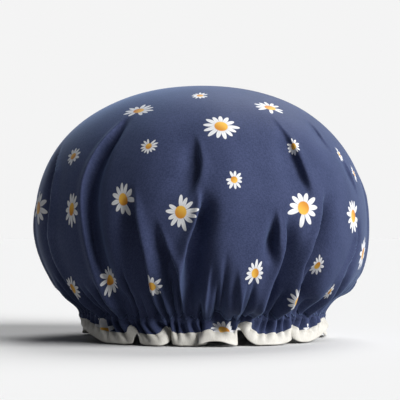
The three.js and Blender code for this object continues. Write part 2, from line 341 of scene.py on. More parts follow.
# Colours of the finishes
NAVY_DARK = (0.034, 0.0435, 0.094, 1.0)
NAVY_LIGHT = (0.059, 0.072, 0.148, 1.0)
SATIN_GLOSS = (0.42, 0.54, 1.0, 1.0)
SATIN_SHEEN = (0.40, 0.60, 1.0, 1.0)
PETAL_GREY = (0.66, 0.67, 0.71, 1.0)
PETAL_WHITE = (0.84, 0.84, 0.84, 1.0)
YOLK_GOLD = (0.86, 0.50, 0.08, 1.0)
YOLK_AMBER = (0.62, 0.25, 0.03, 1.0)
CREAM_DARK = (0.58, 0.56, 0.50, 1.0)
CREAM_LIGHT = (0.73, 0.71, 0.66, 1.0)
MILK_DARK = (0.60, 0.62, 0.64, 1.0)
MILK_LIGHT = (0.72, 0.73, 0.74, 1.0)
KNIT_DARK = (0.55, 0.55, 0.54, 1.0)
KNIT_LIGHT = (0.80, 0.80, 0.78, 1.0)
NAVY_THREAD = ((0.02, 0.026, 0.06, 1.0), (0.05, 0.06, 0.12, 1.0))
CREAM_THREAD = ((0.58, 0.55, 0.47, 1.0), (0.76, 0.73, 0.64, 1.0))

# Patterns of the finishes: noise scales along the two axes of the cloth's or the tape's map, the noise
# values between which a tone changes, the weave's and the ribs' shares of a tone, and the spacing of the
# elastic's ribs
WEAVE_SCALES = ((380.0, 1500.0), (1700.0, 460.0))
WEAVE_SPAN = (0.38, 0.62)
WEAVE_SHARE = 0.7
TAPE_RIB_SCALES = (1400.0, 10.0)
TAPE_RIB_SHARE = 0.5
CLOUD_SPAN = (0.3, 0.7)
KNIT_RIB_SPACING = 0.0008
KNIT_RIB_SHARE = 0.6

# Lamps: turn from the front and rise above the floor in degrees, strength, and softness in degrees
WINDOW_LAMP = (60, 26, 4.4, 42)
OVERHEAD_LAMP = (155, 52, 1.5, 36)

# The room's light, the backdrop that is seen, and the floor as it lights the cap and as it is seen
ROOM_LIGHT = (0.92, 0.95, 1.0, 1.0)
ROOM_STRENGTH = 0.05
BACKDROP = (0.905, 0.905, 0.905, 1.0)
FLOOR_LIT = (0.36, 0.36, 0.36, 1.0)
FLOOR_SEEN = (0.875, 0.875, 0.875, 1.0)
FLOOR_REACH = 20.0


def make_camera():
    """The camera, about level with the widest part of the cap"""
    data = bpy.data.cameras.new("camera")
    data.sensor_width = SENSOR_WIDTH
    data.lens = SENSOR_WIDTH * CAMERA_DISTANCE / FRAME_WIDTH
    camera = bpy.data.objects.new("camera", data)
    camera.location = (0.0, -CAMERA_DISTANCE, CAMERA_HEIGHT)
    camera.rotation_euler = (AIM - camera.location).to_track_quat("-Z", "Y").to_euler()
    bpy.context.scene.collection.objects.link(camera)
    bpy.context.scene.camera = camera
    bpy.context.view_layer.update()
    return camera


camera = make_camera()


def eased(share):
    """A share that leaves 0 and reaches 1 softly"""
    return share * share * (3 - 2 * share)


def smooth_step(value, low, high):
    """0 below low, 1 above high, and a smooth rise between them"""
    return eased(np.clip((value - low) / (high - low), 0, 1))


def wrapped(turn):
    """A turn brought between -180 and 180 degrees"""
    return np.mod(turn + np.pi, 2 * np.pi) - np.pi


def placed(turn, radius, height):
    """Points from turns, radii and heights"""
    turn, radius, height = np.broadcast_arrays(turn, radius, height)
    return np.stack([radius * np.sin(turn), -radius * np.cos(turn), height], axis=-1)


def lengths_along(points):
    """How far along a line of points each of them lies"""
    return np.concatenate([[0], np.cumsum(np.linalg.norm(np.diff(points, axis=0), axis=1))])


# The smooth cap

NECK_RADIUS = BAND_RADIUS + NECK_STANDOFF
SEAM_RADIUS = BAND_RADIUS + SEAM_STANDOFF


def cap_outline():
    """Radius and height along the smooth cap: down over the body, which droops past the upper seam, up to
    that seam, down the channel, and out to the hem"""
    widest = BODY_RADIUS - FOLD_SWELL
    top = CROWN_HEIGHT - FOLD_SWELL
    foot = BAND_RADIUS + DROOP_STANDOFF
    crown = np.linspace(0, np.pi / 2, OUTLINE_POINTS)
    cut = math.acos((foot / widest) ** (SIDE_FULLNESS / 2))
    drop = (WIDEST_HEIGHT - DROOP_HEIGHT) / math.sin(cut) ** (2 / SIDE_FULLNESS)
    side = np.linspace(0, cut, OUTLINE_POINTS)[1:]
    radius = np.concatenate([
        widest * np.sin(crown) ** (2 / CROWN_FULLNESS),
        widest * np.cos(side) ** (2 / SIDE_FULLNESS),
        [SEAM_RADIUS, SEAM_RADIUS, HEM_RADIUS],
    ])
    height = np.concatenate([
        WIDEST_HEIGHT + (top - WIDEST_HEIGHT) * np.cos(crown).clip(0) ** (2 / CROWN_FULLNESS),
        WIDEST_HEIGHT - drop * np.sin(side) ** (2 / SIDE_FULLNESS),
        [UPPER_SEAM, LOWER_SEAM, HEM_EDGE],
    ])
    return radius, height


OUTLINE_RADIUS, OUTLINE_HEIGHT = cap_outline()
OUTLINE_RUN = np.concatenate([
    [0.0], np.cumsum(np.hypot(np.diff(OUTLINE_RADIUS), np.diff(OUTLINE_HEIGHT)))
])
DROOP_RUN, BODY_RUN, CHANNEL_RUN, HEM_RUN = OUTLINE_RUN[-4:]


def radius_at(run):
    return np.interp(run, OUTLINE_RUN, OUTLINE_RADIUS)


def height_at(run):
    return np.interp(run, OUTLINE_RUN, OUTLINE_HEIGHT)


def body_run_at(height):
    """Run of the point at a height on the body"""
    return np.interp(-height, -OUTLINE_HEIGHT[:-3], OUTLINE_RUN[:-3])


def outward_at(run):
    """Radial and upward parts of the smooth cap's normal"""
    rise = height_at(run + NORMAL_STEP) - height_at(run - NORMAL_STEP)
    spread = radius_at(run + NORMAL_STEP) - radius_at(run - NORMAL_STEP)
    size = np.hypot(rise, spread)
    return -rise / size, spread / size


def seen_at(pixel):
    """Turn and run of the point of the smooth cap that a pixel of the photograph shows"""
    across = (pixel[0] / FRAME_PIXELS - 0.5) * FRAME_WIDTH / CAMERA_DISTANCE
    up = (0.5 - pixel[1] / FRAME_PIXELS) * FRAME_WIDTH / CAMERA_DISTANCE
    ray = camera.matrix_world.to_3x3() @ Vector((across, up, -1.0))
    nearest = CAMERA_DISTANCE - RAY_BEFORE * BODY_RADIUS
    farthest = CAMERA_DISTANCE + RAY_BEYOND * BODY_RADIUS
    reach = np.linspace(nearest, farthest, RAY_POINTS)
    points = np.array(camera.location) + reach[:, None] * np.array(ray)
    shown = np.concatenate([OUTLINE_RUN[:-3], OUTLINE_RUN[-2:]])
    room = np.hypot(points[:, 0], points[:, 1]) - np.interp(
        -points[:, 2], -height_at(shown), radius_at(shown), left=0.0
    )
    hit = np.argmax(room < 0) if (room < 0).any() else np.argmin(room)
    run = np.interp(-points[hit, 2], -height_at(shown), shown)
    return math.atan2(points[hit, 0], -points[hit, 1]), run


TURNS = np.linspace(-np.pi, np.pi, COLUMNS, endpoint=False)
BODY_SHARES = np.linspace(0, 1, BODY_ROWS + 1)
BODY_RUNS = BODY_RUN * BODY_SHARES * (1 + ROW_CROWDING - ROW_CROWDING * BODY_SHARES)
CHANNEL_SHARES = np.arange(1, CHANNEL_ROWS + 1) / CHANNEL_ROWS
FRILL_SHARES = np.arange(1, FRILL_ROWS + 1) / FRILL_ROWS
ALL_RUNS = np.concatenate([
    BODY_RUNS,
    BODY_RUN + (CHANNEL_RUN - BODY_RUN) * CHANNEL_SHARES,
    CHANNEL_RUN + (HEM_RUN - CHANNEL_RUN) * FRILL_SHARES,
])


# Folds and pleats of the body

def fold_routes():
    """Each fold's depth, half width, tuck, and the runs and turns of its valley"""
    draw = np.random.default_rng(FOLD_SEED)
    for depth, width, tuck, pixels in FRONT_FOLDS:
        turns, runs = np.transpose([seen_at(pixel) for pixel in pixels])
        yield depth, width, tuck, runs, turns
    share = np.linspace(0, 1, BACK_FOLD_KNOTS)
    for foot, upper, top, depth, width, tuck in BACK_FOLDS:
        runs = np.linspace(body_run_at(top), DROOP_RUN, BACK_FOLD_KNOTS)
        lean = smooth_step(runs, body_run_at(LEAN_HEIGHT), DROOP_RUN)
        turns = np.radians(upper + (foot - upper) * lean)
        bow, bend = draw.normal(0, BACK_FOLD_SWAY, 2)
        sway = bow * np.sin(np.pi * share) + bend * np.sin(2 * np.pi * share)
        yield depth, width, tuck, runs, turns + sway


def neck_pleats():
    """Turn, half width, depth and length of each small pleat at the neck"""
    draw = np.random.default_rng(PLEAT_SEED)
    numbers = np.arange(PLEAT_COUNT)
    turns = 2 * np.pi * (numbers + draw.uniform(-PLEAT_JITTER, PLEAT_JITTER, PLEAT_COUNT)) / PLEAT_COUNT
    spans = (PLEAT_WIDTHS, PLEAT_DEPTHS, PLEAT_LENGTHS)
    return np.stack([turns, *(draw.uniform(*span, PLEAT_COUNT) for span in spans)], axis=1)


PLEATS = neck_pleats()


def gathered_columns():
    """How far out each column stands where the pleats are sewn, from 0 in a pleat to 1 between two"""
    drawn = np.zeros(COLUMNS)
    for turn, width, depth, length in PLEATS:
        aside = wrapped(TURNS - turn) * NECK_RADIUS
        drawn += depth / PLEAT_DEPTHS[1] * np.exp(-(aside / width) ** 2)
    return 1 - np.clip(drawn, 0, 1)


GATHERS = gathered_columns()


def fold_section(share, tuck):
    """Rise and sideways move of the cloth across a fold, in depths and in half widths"""
    steep = np.exp(-(share / STEEP_REACH) ** 2)
    slope = np.exp(-(share / SLOPE_REACH) ** 2)
    lip = np.exp(-((share - LIP_PLACE) / LIP_REACH) ** 2)
    bottom = np.exp(-(share / BOTTOM_REACH) ** 2)
    rise = LIP_RISE * lip - np.where(share < 0, steep, slope)
    return rise, tuck * (LIP_MOVE * lip - BOTTOM_MOVE * bottom)


def large_folds(runs, radius):
    """How far out the cloth stands in the large folds, and how far it swings aside, by row and column"""
    rise = np.zeros((len(runs), COLUMNS))
    swing = np.zeros_like(rise)
    for depth, width, tuck, valley_runs, valley_turns in fold_routes():
        top, foot = valley_runs[0], valley_runs[-1]
        aside = wrapped(TURNS - np.interp(runs, valley_runs, valley_turns)) * radius
        widened = smooth_step(runs, top, top + FOLD_WIDENING)
        spread = width * (FOLD_TIP_WIDTH + (1 - FOLD_TIP_WIDTH) * widened)
        strength = smooth_step(runs, top - FOLD_TOP_LEAD, top + FOLD_TOP_FADE)
        if foot < DROOP_RUN - FOLD_FOOT_FADE:
            strength = strength * (1 - smooth_step(runs, foot - FOLD_FOOT_FADE, foot))
        side = math.copysign(1, tuck)
        up, move = fold_section(side * aside / spread, abs(tuck))
        rise += strength * depth * up
        swing += strength * side * move * spread / np.maximum(radius, width)
    swing *= 1 - TUCK_LOST * smooth_step(runs, DROOP_RUN - TUCK_FADE[0], DROOP_RUN - TUCK_FADE[1])
    return rise, swing


def body_folds():
    """How far out the gathered body stands, and how far it swings aside, by row and column"""
    runs = BODY_RUNS[:, None]
    radius = radius_at(runs)
    rise, swing = large_folds(runs, radius)
    for turn, height, out, reach_round, reach_up in SAGS:
        aside = wrapped(TURNS - math.radians(turn)) / math.radians(reach_round)
        below = (runs - body_run_at(height)) / reach_up
        rise += out * np.exp(-aside ** 2 - below ** 2)
    swell = np.sin(SWELL_COUNT * TURNS + SWELL_SHIFT * np.sin(SWELL_SHIFT_COUNT * TURNS))
    rise += SWELL_HEIGHT * swell * smooth_step(runs, *SWELL_RUNS)
    rise *= 1 - (1 - FOLD_AT_NECK) * smooth_step(runs, DROOP_RUN - FOLD_NECK_FADE, DROOP_RUN)
    for turn, width, depth, length in PLEATS:
        aside = wrapped(TURNS - turn) * radius
        strength = smooth_step(runs, DROOP_RUN - length, DROOP_RUN - PLEAT_FULL * length)
        rise -= strength * depth * np.exp(-(np.abs(aside) / width) ** PLEAT_SHARPNESS)
    rise += PLEAT_SWELL * smooth_step(runs, DROOP_RUN - PLEAT_LENGTHS[1], DROOP_RUN)
    room = np.maximum(radius - NECK_RADIUS - SEAM_GATHER * GATHERS - DROOP_CLEAR, DROOP_CLEAR)
    depth = np.maximum(-rise, 0)
    limited = depth / (1 + (depth / room) ** LIMIT_SHARPNESS) ** (1 / LIMIT_SHARPNESS)
    rise += np.where(runs > body_run_at(WIDEST_HEIGHT), depth - limited, 0)
    tucked = smooth_step(runs, DROOP_RUN, BODY_RUN)
    return rise * (1 - tucked) + SEAM_GATHER * GATHERS * tucked, swing * (1 - tucked)


def body_points(rise, swing):
    """The body with its cloth moved out and swung aside, by row and column"""
    runs = BODY_RUNS[:, None]
    out, up = outward_at(runs)
    level = smooth_step(runs, DROOP_RUN - LEVEL_RUN, DROOP_RUN)
    out, up = out + (1 - out) * level, up * (1 - level)
    hitched = smooth_step(runs, DROOP_RUN - HITCH_RUN, DROOP_RUN)
    hitched = hitched * (1 - smooth_step(runs, DROOP_RUN, BODY_RUN))
    hitch = HITCH * (1 - GATHERS) * hitched
    return placed(TURNS + swing, radius_at(runs) + out * rise, height_at(runs) + up * rise + hitch)


BODY_RISE, BODY_SWING = body_folds()


# The channel round the elastic, and the frill below it

def channel_points(share):
    """The cover at a share of the way from the upper seam to the lower seam"""
    waist = math.sin(math.pi * share)
    radius = SEAM_RADIUS + (NECK_RADIUS - SEAM_RADIUS) * waist + SEAM_GATHER * GATHERS
    return placed(TURNS, radius, UPPER_SEAM + (LOWER_SEAM - UPPER_SEAM) * share)


def back_hem():
    """The hem's route over the back, in lobes of uneven width"""
    draw = np.random.default_rng(HEM_SEED)
    widths = draw.uniform(*LOBE_WIDTHS, BACK_LOBES)
    shares = np.concatenate([[0], np.cumsum(widths) / widths.sum()])
    edges = BACK_HEM[0] + (BACK_HEM[1] - BACK_HEM[0]) * shares
    for start, end in zip(edges[:-1], edges[1:]):
        first, second, third, last = (start + share * (end - start) for share in LOBE_KNOTS)
        yield first, LOBE_SIDE_RADIUS, draw.uniform(*LOBE_SIDE_LIFTS)
        yield second, draw.uniform(*LOBE_RADII[0]), 0.0
        yield third, draw.uniform(*LOBE_RADII[1]), draw.uniform(*LOBE_LIFTS)
        yield last, LOBE_SIDE_RADIUS, draw.uniform(*LOBE_SIDE_LIFTS)
        if end < BACK_HEM[1]:
            yield end, draw.uniform(*VALLEY_RADII), draw.uniform(*VALLEY_LIFTS)


def smooth_loop(knots):
    """A closed smooth curve through the knots, with HEM_STEPS points from each to the next"""
    following = np.roll(knots, -1, axis=0)
    gap = np.linalg.norm(following - knots, axis=1, keepdims=True)
    slope = (following - knots) / gap
    behind_gap = np.roll(gap, 1, axis=0)
    tangent = (slope * behind_gap + np.roll(slope, 1, axis=0) * gap) / (gap + behind_gap)
    share = (np.arange(HEM_STEPS) / HEM_STEPS)[None, :, None]
    start = (1 + 2 * share) * (1 - share) ** 2
    leave = share * (1 - share) ** 2
    arrive = share ** 2 * (share - 1)
    curve = start * knots[:, None] + (1 - start) * following[:, None]
    curve += gap[:, None] * (leave * tangent[:, None] + arrive * np.roll(tangent, -1, axis=0)[:, None])
    return curve.reshape(-1, 3)


def hem_route():
    """Turn, radius and height of the hem below each column"""
    degrees, radius, lift = np.transpose([*FRONT_HEM, *back_hem()])
    curve = smooth_loop(placed(np.radians(degrees), radius, HEM_EDGE + lift))
    run = lengths_along(curve)
    turn = np.unwrap(np.arctan2(curve[:, 0], -curve[:, 1]))
    even = turn[0] + 2 * np.pi * run / (run[-1] + np.linalg.norm(curve[0] - curve[-1]))
    even += np.mean(turn - even)
    above = np.maximum.accumulate((turn + even) / 2) + LEAST_STEP * run
    three_laps = np.concatenate([above - 2 * np.pi, above, above + 2 * np.pi])
    values = []
    for value, step in ((turn, 2 * np.pi), (np.hypot(curve[:, 0], curve[:, 1]), 0), (curve[:, 2], 0)):
        values.append(np.interp(TURNS, three_laps, np.concatenate([value - step, value, value + step])))
    return values


HEM_TURNS, HEM_RADII, HEM_HEIGHTS = hem_route()


def frill_points(share):
    """The frill at a share of the way from the lower seam to the hem"""
    flare = np.clip(share, 0, 1) ** FRILL_FLARE
    length = (LOWER_SEAM - HEM_HEIGHTS) / (LOWER_SEAM - HEM_EDGE)
    gather = FRILL_GATHER * length * (GATHERS - FRILL_DRAWN_IN) * np.sin(np.pi * share) * (1 - share) ** 2
    start = SEAM_RADIUS + SEAM_GATHER * GATHERS
    radius = start + (HEM_RADII - start) * flare + gather
    turn = TURNS + (HEM_TURNS - TURNS) * eased(share)
    return placed(turn, radius, LOWER_SEAM + (HEM_HEIGHTS - LOWER_SEAM) * share)


def normals_of(points):
    """Outward unit normals of a sheet that is closed round its columns"""
    round_step = np.roll(points, -1, axis=1) - np.roll(points, 1, axis=1)
    down_step = np.gradient(points, axis=0)
    normal = np.cross(down_step, round_step)
    size = np.linalg.norm(normal, axis=-1, keepdims=True)
    return np.where(size > LEAST_NORMAL, normal / np.maximum(size, LEAST_NORMAL), (0.0, 0.0, 1.0))


def cover_points():
    """The whole cover, from the crown to the hem"""
    channel = [channel_points(share) for share in CHANNEL_SHARES]
    frill = [frill_points(share) for share in FRILL_SHARES]
    return np.concatenate([body_points(BODY_RISE, BODY_SWING), channel, frill])


COVER = cover_points()
COVER_NORMALS = normals_of(COVER)


# Meshes

def finish_piece(name, shape, finish, levels=0):
    """A named object from a bmesh, smooth, with its finish and live subdivision"""
    mesh = bpy.data.meshes.new(name)
    shape.to_mesh(mesh)
    shape.free()
    piece = bpy.data.objects.new(name, mesh)
    bpy.context.scene.collection.objects.link(piece)
    mesh.shade_smooth()
    mesh.materials.append(finish)
    if levels:
        smoother = piece.modifiers.new("smoother", "SUBSURF")
        smoother.levels = levels
        smoother.render_levels = levels
        smoother.uv_smooth = "NONE"
    return piece


def column_steps(points):
    """How many columns share one vertex in each row, so that the crown's faces don't shrink to slivers"""
    radius = np.hypot(points[..., 0], points[..., 1]).mean(axis=1)
    doublings = np.ceil(np.log2(FULL_RADIUS / np.maximum(radius, SEAM_MERGE)))
    return 2 ** np.clip(doublings, 0, MOST_DOUBLINGS).astype(int)


def shared_columns(points):
    """The column whose place each vertex of a sheet takes, by row and column"""
    columns = np.arange(points.shape[1])
    return np.stack([columns - columns % step for step in column_steps(points)])


def sheet_mesh(points):
    """A bmesh of a sheet that is closed round its columns. Its map holds column and row shares."""
    rows, columns = points.shape[0] - 1, points.shape[1]
    snapped = np.take_along_axis(points, shared_columns(points)[..., None], axis=1)
    laps = np.concatenate([snapped, snapped[:, :1]], axis=1)
    sheet = bmesh.new()
    sheet.loops.layers.uv.new("share")
    bmesh.ops.create_grid(sheet, x_segments=columns, y_segments=rows, size=0.5, calc_uvs=True)
    for vertex, place in zip(sheet.verts, laps[::-1].reshape(-1, 3)):
        vertex.co = place
    bmesh.ops.remove_doubles(sheet, verts=sheet.verts, dist=SEAM_MERGE)
    return sheet


# Shaders

class Wire:
    """An output of a shader node. Sums on wires add Math nodes, and make adds any other node."""

    def __init__(self, tree, output=None):
        self.tree = tree
        self.output = output

    def make(self, kind, settings=None, inputs=None, output=0):
        """A node of a kind, with its settings and the values or links of its sockets"""
        node = self.tree.nodes.new(kind)
        for name, value in (settings or {}).items():
            setattr(node, name, value)
        for name, value in (inputs or {}).items():
            if isinstance(value, Wire):
                self.tree.links.new(value.output, node.inputs[name])
            else:
                node.inputs[name].default_value = value
        return Wire(self.tree, node.outputs[output] if node.outputs else None)

    def sibling(self, name):
        """Another output of the same node"""
        return Wire(self.tree, self.output.node.outputs[name])

    def math(self, operation, *values):
        return self.make("ShaderNodeMath", {"operation": operation}, dict(enumerate(values)))

    def __add__(self, other):
        return self.math("ADD", self, other)

    def __sub__(self, other):
        return self.math("SUBTRACT", self, other)

    def __rsub__(self, other):
        return self.math("SUBTRACT", other, self)

    def __mul__(self, other):
        return self.math("MULTIPLY", self, other)

    def __truediv__(self, other):
        return self.math("DIVIDE", self, other)

    def __pow__(self, other):
        return self.math("POWER", self, other)

    __radd__ = __add__
    __rmul__ = __mul__

    def between(self, low, high):
        """0 at low, 1 at high, and a smooth change between them"""
        return self.make(
            "ShaderNodeMapRange", {"interpolation_type": "SMOOTHSTEP"},
            {"Value": self, "From Min": low, "From Max": high},
        )

    def mixed(self, first, second):
        """One colour at 0 and the other at 1"""
        return self.make(
            "ShaderNodeMix", {"data_type": "RGBA"}, {"Factor": self, 6: first, 7: second}, output=2
        )


def new_finish(name):
    """A material with an empty tree, and a wire to start from"""
    finish = bpy.data.materials.new(name)
    finish.use_nodes = True
    finish.node_tree.nodes.clear()
    return finish, Wire(finish.node_tree)


def close_finish(start, sockets):
    """The surface with these sockets, joined to the material's output"""
    shader = start.make("ShaderNodeBsdfPrincipled", None, sockets)
    start.make("ShaderNodeOutputMaterial", None, {"Surface": shader})


def object_places(start):
    return start.make("ShaderNodeTexCoord", output="Object")


def noise(start, place, scale, detail, dimensions="3D"):
    return start.make(
        "ShaderNodeTexNoise", {"noise_dimensions": dimensions},
        {"Vector": place, "Scale": scale, "Detail": detail},
    )


def drawn_out_noise(start, place, scales, detail):
    """Noise over a map, finer one way than the other"""
    scaled = start.make("ShaderNodeMapping", None, {"Vector": place, "Scale": (*scales, 1.0)})
    return noise(start, scaled, 1.0, detail, "2D")


def bump(start, height, strength, distance):
    return start.make(
        "ShaderNodeBump", None, {"Strength": strength, "Distance": distance, "Height": height}
    )


def daisy_print(start):
    """Masks of the printed daisies' petals and yolks, and the shading of both"""
    place = start.make("ShaderNodeUVMap", {"uv_map": "daisy"})
    kind = start.make("ShaderNodeUVMap", {"uv_map": "bloom"})
    across = start.make("ShaderNodeSeparateXYZ", None, {"Vector": place})
    up = across.sibling("Y")
    kinds = start.make("ShaderNodeSeparateXYZ", None, {"Vector": kind})
    bloom = start.math("FLOOR", kinds)
    petals = start.math("FLOOR", kinds.sibling("Y"))
    far = start.make("ShaderNodeVectorMath", {"operation": "LENGTH"}, {0: place}, output="Value")
    sector = (start.math("ARCTAN2", up, across) / (2 * math.pi) + 0.5) * petals
    number = start.math("FLOOR", sector)
    draw = start.make("ShaderNodeCombineXYZ", None, {"X": number, "Y": bloom})
    chance = start.make("ShaderNodeTexWhiteNoise", {"noise_dimensions": "2D"}, {"Vector": draw})
    other_chance = start.make("ShaderNodeSeparateXYZ", None, {"Vector": chance.sibling("Color")})
    angle = (sector - number - 0.5 + (other_chance - 0.5) * PETAL_SWAY) * (2 * math.pi) / petals
    tip = PETAL_TIP + PETAL_TIP_SPREAD * chance
    along = far * start.math("COSINE", angle)
    aside = far * start.math("SINE", angle)
    middle = (tip + PETAL_ROOT) * 0.5
    half = (tip - PETAL_ROOT) * 0.5
    oval = ((along - middle) / half) ** 2 + (aside * petals / PETAL_FULLNESS) ** 2
    petal = oval.between(*PETAL_EDGE) * chance.between(*PETAL_GAP)
    vein = start.math("ABSOLUTE", aside).between(*VEIN_SPAN)
    petal_shade = vein * VEIN_SHARE + far.between(*PETAL_SHADE) * (1 - VEIN_SHARE)
    yolk = far.between(*YOLK_EDGE)
    yolk_shade = (across * YOLK_SHADED_SIDE[0] + up * YOLK_SHADED_SIDE[1]).between(*YOLK_SHADE)
    return petal, petal_shade, yolk, yolk_shade


def satin_finish():
    """Navy satin with a fine slubbed weave and the daisy print"""
    finish, start = new_finish("navy_satin")
    flat = start.make("ShaderNodeUVMap", {"uv_map": "cloth"})
    slub_along, slub_across = (drawn_out_noise(start, flat, scales, 3.0) for scales in WEAVE_SCALES)
    weave = (slub_along + slub_across) * 0.5
    cloud = noise(start, flat, 45.0, 4.0, "2D")
    tone = weave.between(*WEAVE_SPAN) * WEAVE_SHARE + cloud.between(*CLOUD_SPAN) * (1 - WEAVE_SHARE)
    petal, petal_shade, yolk, yolk_shade = daisy_print(start)
    printed = petal.mixed(tone.mixed(NAVY_DARK, NAVY_LIGHT), petal_shade.mixed(PETAL_GREY, PETAL_WHITE))
    close_finish(start, {
        "Base Color": yolk.mixed(printed, yolk_shade.mixed(YOLK_GOLD, YOLK_AMBER)),
        "Roughness": 0.46 + 0.12 * weave,
        "Specular IOR Level": 0.05,
        "Specular Tint": SATIN_GLOSS,
        "Sheen Weight": 0.30,
        "Sheen Roughness": 0.45,
        "Sheen Tint": SATIN_SHEEN,
        "Normal": bump(start, weave, 0.25, 0.0004),
    })
    return finish


def tape_finish():
    """Cream binding tape with fine ribs across it and an uneven tone"""
    finish, start = new_finish("cream_tape")
    place = start.make("ShaderNodeUVMap", {"uv_map": "share"})
    ribs = drawn_out_noise(start, place, TAPE_RIB_SCALES, 2.0)
    cloud = noise(start, object_places(start), 140.0, 3.0)
    tone = ribs.between(*CLOUD_SPAN) * TAPE_RIB_SHARE + cloud.between(*CLOUD_SPAN) * (1 - TAPE_RIB_SHARE)
    close_finish(start, {
        "Base Color": tone.mixed(CREAM_DARK, CREAM_LIGHT),
        "Roughness": 0.55 + 0.15 * ribs,
        "Sheen Weight": 0.15,
        "Normal": bump(start, ribs, 0.3, 0.0003),
    })
    return finish


def film_finish():
    """Milky waterproof film with a fine emboss"""
    finish, start = new_finish("milky_film")
    place = object_places(start)
    emboss = start.make("ShaderNodeTexVoronoi", {"feature": "SMOOTH_F1"}, {"Vector": place, "Scale": 900.0})
    tone = noise(start, place, 60.0, 4.0).between(*CLOUD_SPAN)
    close_finish(start, {
        "Base Color": tone.mixed(MILK_DARK, MILK_LIGHT),
        "Roughness": 0.24 + 0.16 * tone,
        "Specular IOR Level": 0.5,
        "Normal": bump(start, emboss, 0.2, 0.0003),
    })
    return finish


def knit_finish():
    """White knitted elastic with ribs round the band"""
    finish, start = new_finish("white_knit")
    place = object_places(start)
    height = start.make("ShaderNodeSeparateXYZ", None, {"Vector": place}, output="Z")
    ribs = start.math("SINE", height * (2 * math.pi / KNIT_RIB_SPACING)) * 0.5 + 0.5
    cloud = noise(start, place, 900.0, 2.0)
    tone = ribs * KNIT_RIB_SHARE + cloud * (1 - KNIT_RIB_SHARE)
    close_finish(start, {
        "Base Color": tone.mixed(KNIT_DARK, KNIT_LIGHT),
        "Roughness": 0.7 + 0.1 * cloud,
        "Sheen Weight": 0.2,
        "Normal": bump(start, ribs, 0.6, 0.0004),
    })
    return finish


def thread_finish(name, dark, light):
    """Spun sewing thread"""
    finish, start = new_finish(name)
    fibre = noise(start, object_places(start), 4000.0, 2.0)
    close_finish(start, {
        "Base Color": fibre.between(*CLOUD_SPAN).mixed(dark, light),
        "Roughness": 0.5 + 0.2 * fibre,
        "Specular IOR Level": 0.1,
        "Normal": bump(start, fibre, 0.4, 0.0001),
    })
    return finish


# The cover and its print

def smooth_place(turn, run):
    """The point of the smooth cap at a turn and a run"""
    return placed(turn, radius_at(run), height_at(run))


def scattered_daisies():
    """Turn, run, half width and half height of each daisy: those in the photograph, then a loose scatter"""
    draw = np.random.default_rng(SCATTER_SEED)
    daisies = []
    for across, pixels in ((LARGE_ACROSS, LARGE_DAISIES), (SMALL_ACROSS, SMALL_DAISIES)):
        daisies += [(*seen_at((x, y)), wide * across / 2, tall * across / 2) for x, y, wide, tall in pixels]
    wanted = len(daisies) + BACK_DAISIES
    places = [smooth_place(turn, run) for turn, run, wide, tall in daisies]
    while len(daisies) < wanted:
        turn = wrapped(draw.uniform(*np.radians(BACK_DAISY_TURNS)))
        run = HEM_RUN * math.sqrt(draw.uniform(*BACK_DAISY_SHARES))
        place = smooth_place(turn, run)
        if min(np.linalg.norm(place - other) for other in places) < DAISY_SPACING:
            continue
        across = LARGE_ACROSS if draw.uniform() < BACK_LARGE_SHARE else SMALL_ACROSS
        daisies.append((turn, run, draw.uniform(*BACK_DAISY_WIDTHS) * across / 2, across / 2))
        places.append(place)
    return daisies


def corner_places(mesh):
    """Turn and run of each face corner of the cover"""
    share = np.empty(2 * len(mesh.loops))
    mesh.uv_layers["share"].data.foreach_get("uv", share)
    column = np.rint(share[0::2] * COLUMNS).astype(int)
    row = np.rint((1 - share[1::2]) * (len(ALL_RUNS) - 1)).astype(int)
    column -= column % column_steps(COVER)[row]
    return 2 * np.pi * column / COLUMNS - np.pi, ALL_RUNS[row]


def add_map(mesh, name, places):
    mesh.uv_layers.new(name=name).data.foreach_set("uv", places.ravel())


def print_daisies(mesh, turn, run):
    """Two maps of the print: each corner's place in its face's daisy, and that daisy's number and petals,
    both half a step up so that they round down safely"""
    smooth = smooth_place(turn, run)
    first = np.empty(len(mesh.polygons), int)
    mesh.polygons.foreach_get("loop_start", first)
    count = np.empty(len(mesh.polygons), int)
    mesh.polygons.foreach_get("loop_total", count)
    face = np.repeat(np.arange(len(count)), count)
    centre = np.add.reduceat(smooth, first) / count[:, None]
    in_frill = np.add.reduceat(run, first) / count > CHANNEL_RUN
    draw = np.random.default_rng(BLOOM_SEED)
    place = np.full((len(smooth), 2), NO_DAISY)
    kind = np.zeros((len(smooth), 2))
    nearest = np.full(len(count), np.inf)
    for number, (daisy_turn, daisy_run, wide, tall) in enumerate(scattered_daisies()):
        middle = smooth_place(daisy_turn, daisy_run)
        out, up = outward_at(daisy_run)
        round_way = placed(daisy_turn + np.pi / 2, 1 / wide, 0.0)
        up_way = placed(daisy_turn, -up, out) / tall
        spin = draw.uniform(0, 2 * np.pi)
        petals = draw.integers(*PETAL_COUNTS)
        gap = np.linalg.norm(centre - middle, axis=1) / max(wide, tall)
        near = (gap < DAISY_REACH) & (gap < nearest) & (in_frill == (daisy_run > CHANNEL_RUN))
        nearest[near] = gap[near]
        corners = near[face]
        away = smooth[corners] - middle
        turned = np.array([[math.cos(spin), -math.sin(spin)], [math.sin(spin), math.cos(spin)]])
        place[corners] = np.stack([away @ round_way, away @ up_way], axis=1) @ turned
        kind[corners] = (number + 0.5, petals + 0.5)
    add_map(mesh, "daisy", place)
    add_map(mesh, "bloom", kind)


def dress_cover():
    """The printed cover, one gathered sheet from the crown to the hem"""
    piece = finish_piece("cover", sheet_mesh(COVER), satin_finish())
    turn, run = corner_places(piece.data)
    add_map(piece.data, "cloth", np.stack([run * np.sin(turn), -run * np.cos(turn)], axis=1))
    print_daisies(piece.data, turn, run)
    return piece


# The lining, the elastic and the binding

